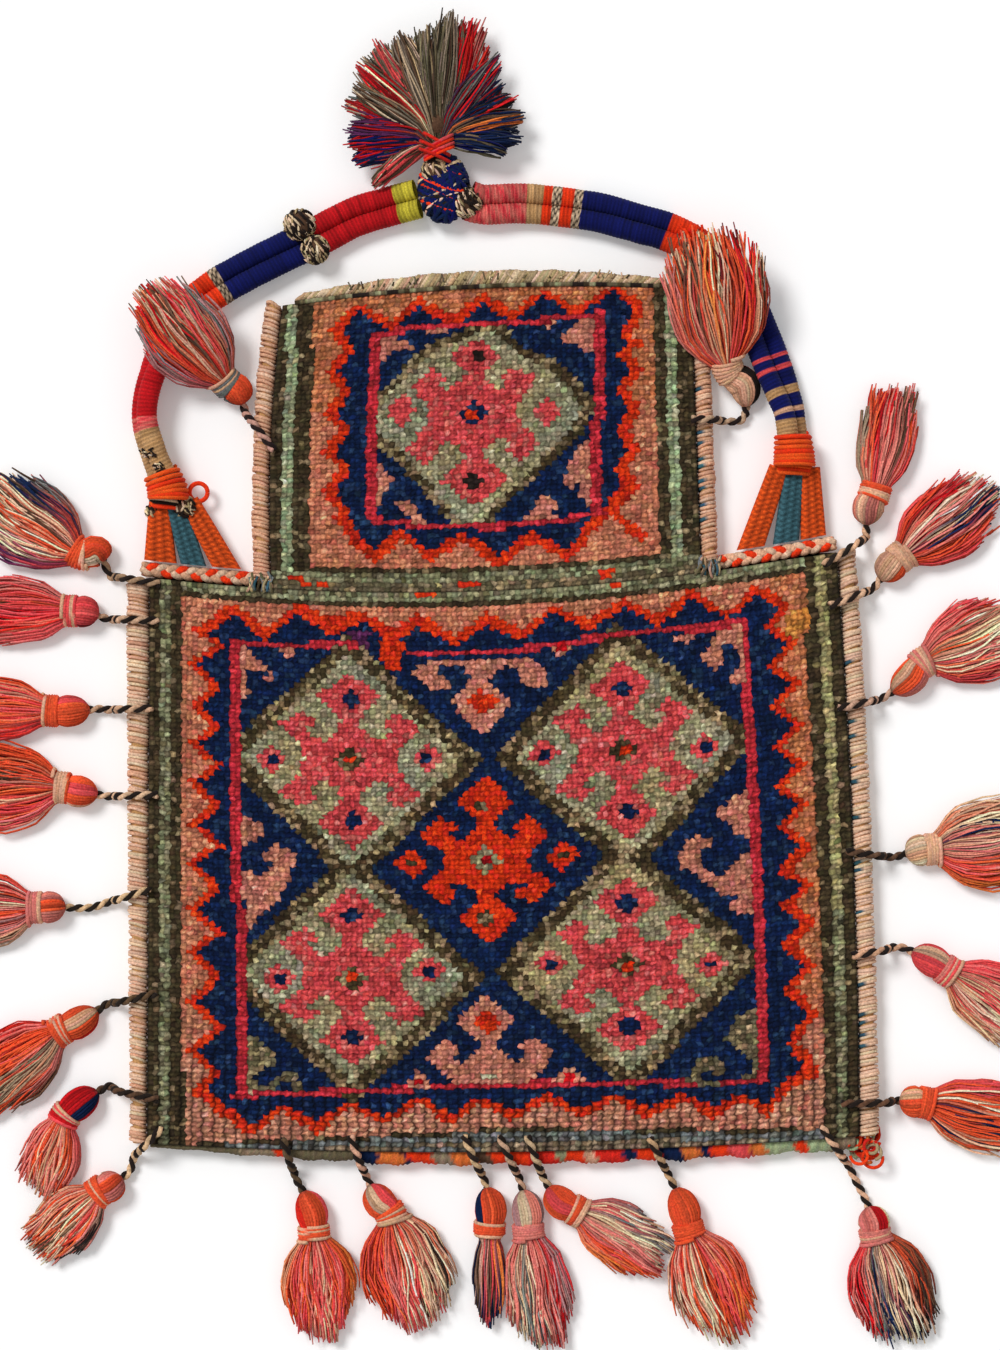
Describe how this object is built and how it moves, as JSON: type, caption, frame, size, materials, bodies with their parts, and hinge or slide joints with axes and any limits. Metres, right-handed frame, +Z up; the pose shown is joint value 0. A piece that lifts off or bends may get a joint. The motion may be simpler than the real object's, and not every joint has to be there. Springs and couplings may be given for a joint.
{
  "type": "salt bag",
  "caption": "T-shaped woollen salt bag with a knotted-pile face, a narrow neck, a roped handle and yarn tassels on plied cords.",
  "frame": {"origin": "on the surface that the bag lies on, below the middle of the whole piece with its tassels", "axes": "+X to the right across the face, +Y up the bag from its foot to the handle, +Z up out of the face"},
  "size_m": [0.622, 0.7337, 0.0337],
  "materials": {
    "pile": "matt",
    "flatweave": "matt",
    "binding": "matt",
    "braid": "matt",
    "rope_red": "matt",
    "rope_navy": "matt",
    "yarn": "matt",
    "cord": "matt"
  },
  "bodies": {
    "root": {"front_panel": "pile", "back_panel": "flatweave", "body_binding_left": "binding", "body_binding_right": "binding", "neck_binding_left": "binding", "neck_binding_right": "binding", "mouth_hem_front": "binding", "mouth_hem_back": "flatweave", "shoulder_braid_left": "braid", "shoulder_braid_right": "braid", "handle_left": "rope_red", "handle_right": "rope_navy", "handle_knot": "rope_navy", "tassel_crown": "yarn", "tassel_neck_left": "yarn", "tassel_neck_right": "yarn", "tassel_left_1": "yarn", "tassel_left_2": "yarn", "tassel_left_3": "yarn", "tassel_left_4": "yarn", "tassel_left_5": "yarn", "tassel_left_6": "yarn", "tassel_left_7": "yarn", "tassel_left_8": "yarn", "tassel_right_1": "yarn", "tassel_right_2": "yarn", "tassel_right_3": "yarn", "tassel_right_4": "yarn", "tassel_right_5": "yarn", "tassel_right_6": "yarn", "tassel_bottom_1": "yarn", "tassel_bottom_2": "yarn", "tassel_bottom_3": "yarn", "tassel_bottom_4": "yarn", "tassel_bottom_5": "yarn", "tassel_bottom_6": "yarn", "tassel_bottom_7": "yarn", "cord_neck_left": "cord", "cord_neck_right": "cord", "cord_left_1": "cord", "cord_left_2": "cord", "cord_left_3": "cord", "cord_left_4": "cord", "cord_left_5": "cord", "cord_left_6": "cord", "cord_left_7": "cord", "cord_left_8": "cord", "cord_right_1": "cord", "cord_right_2": "cord", "cord_right_3": "cord", "cord_right_4": "cord", "cord_right_5": "cord", "cord_right_6": "cord", "cord_bottom_1": "cord", "cord_bottom_2": "cord", "cord_bottom_3": "cord", "cord_bottom_4": "cord", "cord_bottom_5": "cord", "cord_bottom_6": "cord", "cord_bottom_7": "cord"}
  },
  "joints": []
}
